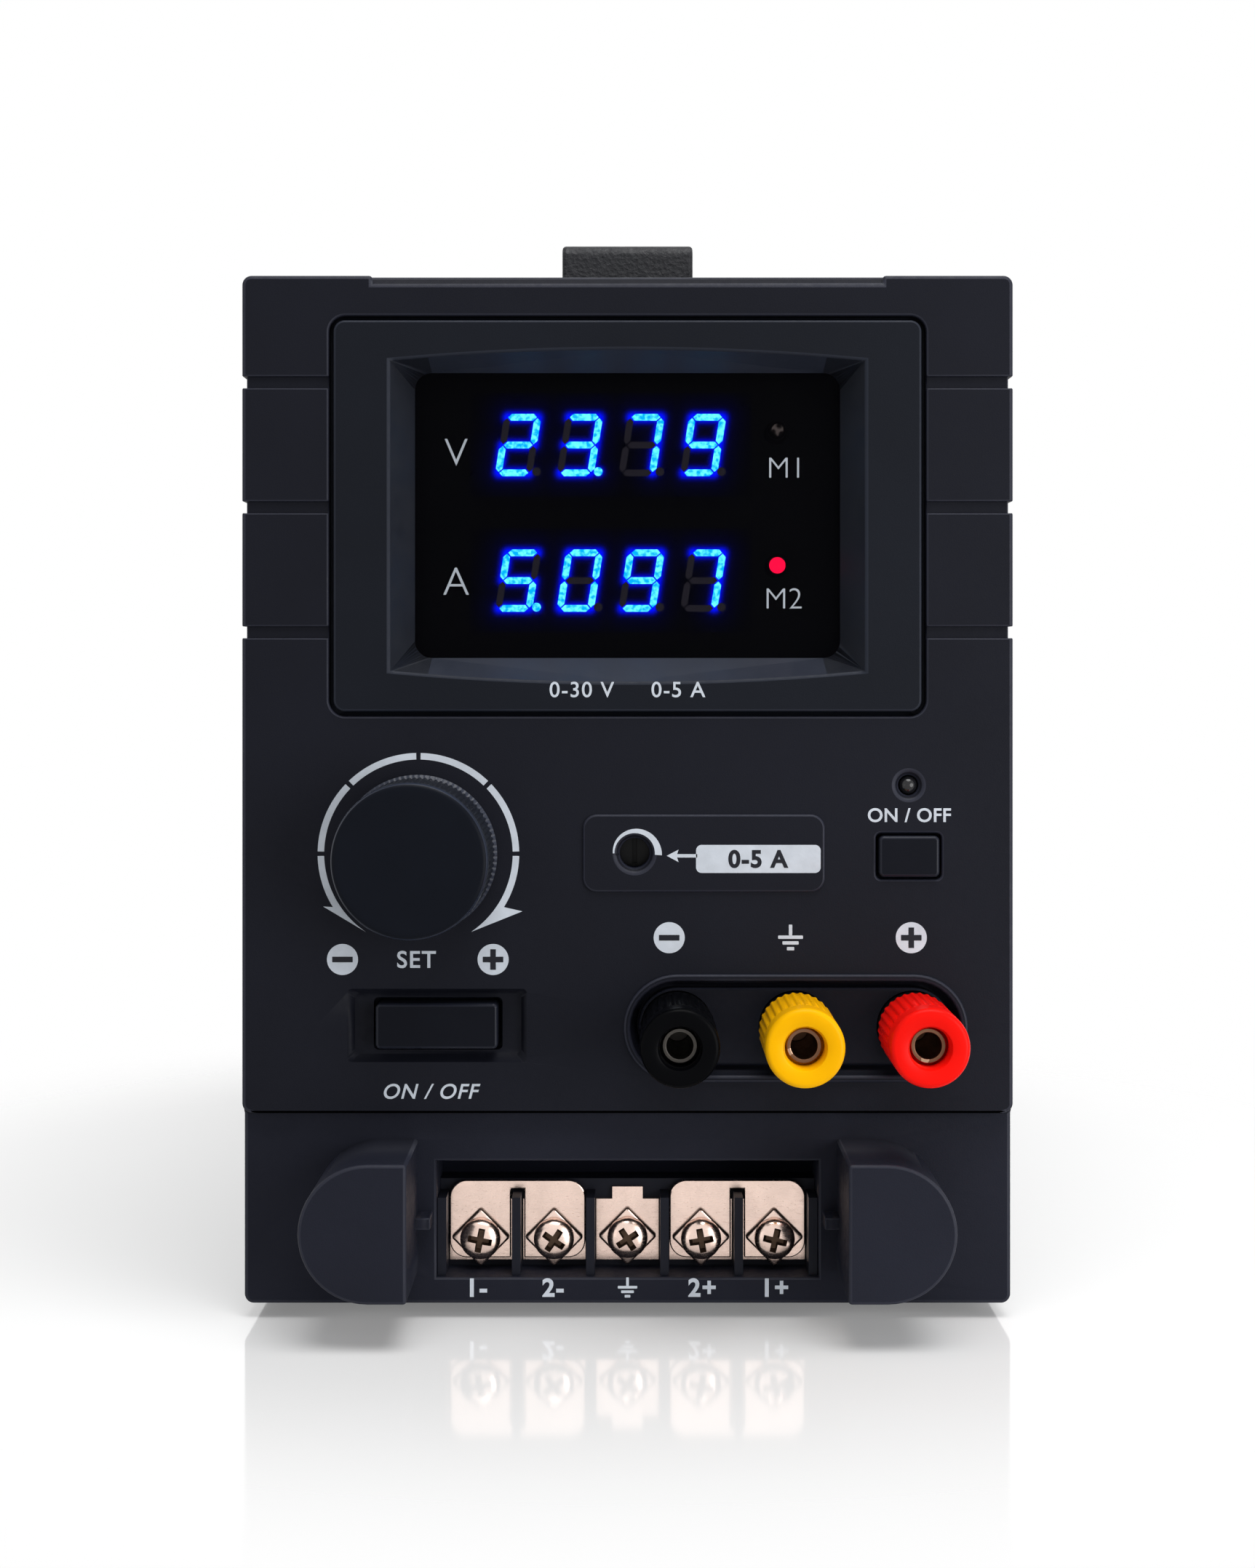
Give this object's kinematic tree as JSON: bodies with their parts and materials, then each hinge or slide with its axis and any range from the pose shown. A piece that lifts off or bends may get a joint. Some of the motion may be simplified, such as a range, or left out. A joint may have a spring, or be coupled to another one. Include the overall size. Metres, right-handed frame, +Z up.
{
  "type": "bench power supply",
  "caption": "Upright bench power supply with a lit volt and amp display, adjusting knob, push keys, screw binding posts, sense terminals, steel case, fan and strap handle.",
  "frame": {"origin": "centre of the footprint of the whole part, on the plane under its feet", "axes": "+Z up; the front with its display and posts looks along -Y; +X to the right seen from the front"},
  "size_m": [0.124, 0.2446, 0.1789],
  "materials": {
    "panel": "fine-textured moulded charcoal plastic",
    "bezel": "fine-textured moulded charcoal plastic",
    "window": "smoked clear acrylic",
    "board": "green solder resist",
    "display": "black LED module",
    "lamp_red": "red LED",
    "lamp_clear": "clear LED",
    "switch_metal": "tinned steel",
    "switch_plastic": "black moulded plastic",
    "rotor": "natural moulded plastic",
    "trimmer": "blue moulded plastic",
    "knob": "satin black plastic",
    "key": "charcoal plastic",
    "insulator": "black moulded plastic",
    "brass": "plated brass",
    "nickel": "bright nickel plate",
    "cap_black": "black plastic",
    "cap_yellow": "yellow plastic",
    "cap_red": "red plastic",
    "case": "charcoal powder coat",
    "zinc": "zinc-plated sheet",
    "screw_black": "blackened steel",
    "rubber": "black rubber",
    "handle": "leather-grained black plastic",
    "fan": "black moulded plastic",
    "guard": "nickel-plated wire",
    "ferrite": "ferrite core and taped winding",
    "aluminium": "extruded, plain",
    "can": "sleeved aluminium can",
    "wire": "insulated wire"
  },
  "bodies": {
    "case": {"front_panel": "panel", "display_bezel": "bezel", "display_window": "window", "display_board": "board", "led_displays": "display", "mode_lamps": "lamp_red", "control_board": "board", "encoder_body": "switch_metal", "trimmer_body": "trimmer", "output_switch": "switch_plastic", "output_lamp": "lamp_clear", "power_switch": "switch_plastic", "post_insulators": "insulator", "post_studs": "brass", "sense_block": "insulator", "sense_contacts": "nickel", "sense_links": "nickel", "top_cover": "case", "bottom_chassis": "zinc", "rear_panel": "case", "case_screws": "screw_black", "rubber_feet": "rubber", "handle_caps": "handle", "strap_front": "handle", "strap_rear": "handle", "fan_frame": "fan", "fan_guard": "guard", "mains_inlet": "insulator", "inlet_pins": "brass", "main_board": "board", "transformer": "ferrite", "heat_sinks": "aluminium", "capacitors": "can", "wiring": "wire"},
    "encoder_rotor": {"encoder_rotor": "rotor"},
    "knob": {"encoder_shaft": "switch_metal", "adjust_knob": "knob"},
    "trimmer_rotor": {"trimmer_rotor": "rotor"},
    "output_button": {"output_button": "key"},
    "power_button": {"power_button": "key"},
    "fan_rotor": {"fan_rotor": "fan"},
    "grip": {"handle_grip": "handle"},
    "post_washer_black": {"post_washer_black": "nickel"},
    "post_cap_black": {"post_cap_black": "cap_black"},
    "post_washer_yellow": {"post_washer_yellow": "nickel"},
    "post_cap_yellow": {"post_cap_yellow": "cap_yellow"},
    "post_washer_red": {"post_washer_red": "nickel"},
    "post_cap_red": {"post_cap_red": "cap_red"},
    "clamp_washer_1": {"clamp_washer_1": "nickel"},
    "clamp_screw_1": {"clamp_screw_1": "nickel"},
    "clamp_washer_2": {"clamp_washer_2": "nickel"},
    "clamp_screw_2": {"clamp_screw_2": "nickel"},
    "clamp_washer_3": {"clamp_washer_3": "nickel"},
    "clamp_screw_3": {"clamp_screw_3": "nickel"},
    "clamp_washer_4": {"clamp_washer_4": "nickel"},
    "clamp_screw_4": {"clamp_screw_4": "nickel"},
    "clamp_washer_5": {"clamp_washer_5": "nickel"},
    "clamp_screw_5": {"clamp_screw_5": "nickel"}
  },
  "joints": [
    {"name": "knob_turn", "type": "hinge", "parent": "case", "child": "encoder_rotor", "pos_m": [-0.0336, -0.10085, 0.0755], "axis": [0, -1, 0], "continuous": true},
    {"name": "knob_push", "type": "slide", "parent": "encoder_rotor", "child": "knob", "axis": [0, 1, 0], "range_m": [0, 0.0005], "stiffness_N_per_m": 600},
    {"name": "trimmer_turn", "type": "hinge", "parent": "case", "child": "trimmer_rotor", "pos_m": [0.00115, -0.10085, 0.0756], "axis": [0, -1, 0], "range_deg": [-130, 130]},
    {"name": "output_press", "type": "slide", "parent": "case", "child": "output_button", "axis": [0, 1, 0], "range_m": [0, 0.001], "stiffness_N_per_m": 300},
    {"name": "power_press", "type": "slide", "parent": "case", "child": "power_button", "axis": [0, 1, 0], "range_m": [0, 0.003], "stiffness_N_per_m": 200},
    {"name": "fan_spin", "type": "hinge", "parent": "case", "child": "fan_rotor", "pos_m": [0.022, 0.10415, 0.1105], "axis": [0, 1, 0], "continuous": true},
    {"name": "handle_lift", "type": "slide", "parent": "case", "child": "grip", "axis": [0, 0, 1], "range_m": [0, 0.015], "deforming": ["strap_front", "strap_rear"]},
    {"name": "black_cap_rise", "type": "slide", "parent": "case", "child": "post_washer_black", "axis": [0, -1, 0], "range_m": [0, 0.0049]},
    {"name": "black_cap_turn", "type": "hinge", "parent": "post_washer_black", "child": "post_cap_black", "pos_m": [0.008, -0.10085, 0.0475], "axis": [0, -1, 0], "range_deg": [0, 2520]},
    {"name": "yellow_cap_rise", "type": "slide", "parent": "case", "child": "post_washer_yellow", "axis": [0, -1, 0], "range_m": [0, 0.0049]},
    {"name": "yellow_cap_turn", "type": "hinge", "parent": "post_washer_yellow", "child": "post_cap_yellow", "pos_m": [0.027, -0.10085, 0.0475], "axis": [0, -1, 0], "range_deg": [0, 2520]},
    {"name": "red_cap_rise", "type": "slide", "parent": "case", "child": "post_washer_red", "axis": [0, -1, 0], "range_m": [0, 0.0049]},
    {"name": "red_cap_turn", "type": "hinge", "parent": "post_washer_red", "child": "post_cap_red", "pos_m": [0.046, -0.10085, 0.0475], "axis": [0, -1, 0], "range_deg": [0, 2520]},
    {"name": "terminal_1_rise", "type": "slide", "parent": "case", "child": "clamp_washer_1", "axis": [0, -1, 0], "range_m": [0, 0.0036]},
    {"name": "terminal_1_turn", "type": "hinge", "parent": "clamp_washer_1", "child": "clamp_screw_1", "pos_m": [-0.0241, -0.10085, 0.0119], "axis": [0, -1, 0], "range_deg": [0, 2160]},
    {"name": "terminal_2_rise", "type": "slide", "parent": "case", "child": "clamp_washer_2", "axis": [0, -1, 0], "range_m": [0, 0.0036]},
    {"name": "terminal_2_turn", "type": "hinge", "parent": "clamp_washer_2", "child": "clamp_screw_2", "pos_m": [-0.01205, -0.10085, 0.0119], "axis": [0, -1, 0], "range_deg": [0, 2160]},
    {"name": "terminal_3_rise", "type": "slide", "parent": "case", "child": "clamp_washer_3", "axis": [0, -1, 0], "range_m": [0, 0.0036]},
    {"name": "terminal_3_turn", "type": "hinge", "parent": "clamp_washer_3", "child": "clamp_screw_3", "pos_m": [0, -0.10085, 0.0119], "axis": [0, -1, 0], "range_deg": [0, 2160]},
    {"name": "terminal_4_rise", "type": "slide", "parent": "case", "child": "clamp_washer_4", "axis": [0, -1, 0], "range_m": [0, 0.0036]},
    {"name": "terminal_4_turn", "type": "hinge", "parent": "clamp_washer_4", "child": "clamp_screw_4", "pos_m": [0.01205, -0.10085, 0.0119], "axis": [0, -1, 0], "range_deg": [0, 2160]},
    {"name": "terminal_5_rise", "type": "slide", "parent": "case", "child": "clamp_washer_5", "axis": [0, -1, 0], "range_m": [0, 0.0036]},
    {"name": "terminal_5_turn", "type": "hinge", "parent": "clamp_washer_5", "child": "clamp_screw_5", "pos_m": [0.0241, -0.10085, 0.0119], "axis": [0, -1, 0], "range_deg": [0, 2160]}
  ],
  "couplings": [
    {"joint": "black_cap_turn", "follows": "black_cap_rise", "rad_per_m": 8976},
    {"joint": "yellow_cap_turn", "follows": "yellow_cap_rise", "rad_per_m": 8976},
    {"joint": "red_cap_turn", "follows": "red_cap_rise", "rad_per_m": 8976},
    {"joint": "terminal_1_turn", "follows": "terminal_1_rise", "rad_per_m": 10472},
    {"joint": "terminal_2_turn", "follows": "terminal_2_rise", "rad_per_m": 10472},
    {"joint": "terminal_3_turn", "follows": "terminal_3_rise", "rad_per_m": 10472},
    {"joint": "terminal_4_turn", "follows": "terminal_4_rise", "rad_per_m": 10472},
    {"joint": "terminal_5_turn", "follows": "terminal_5_rise", "rad_per_m": 10472}
  ]
}
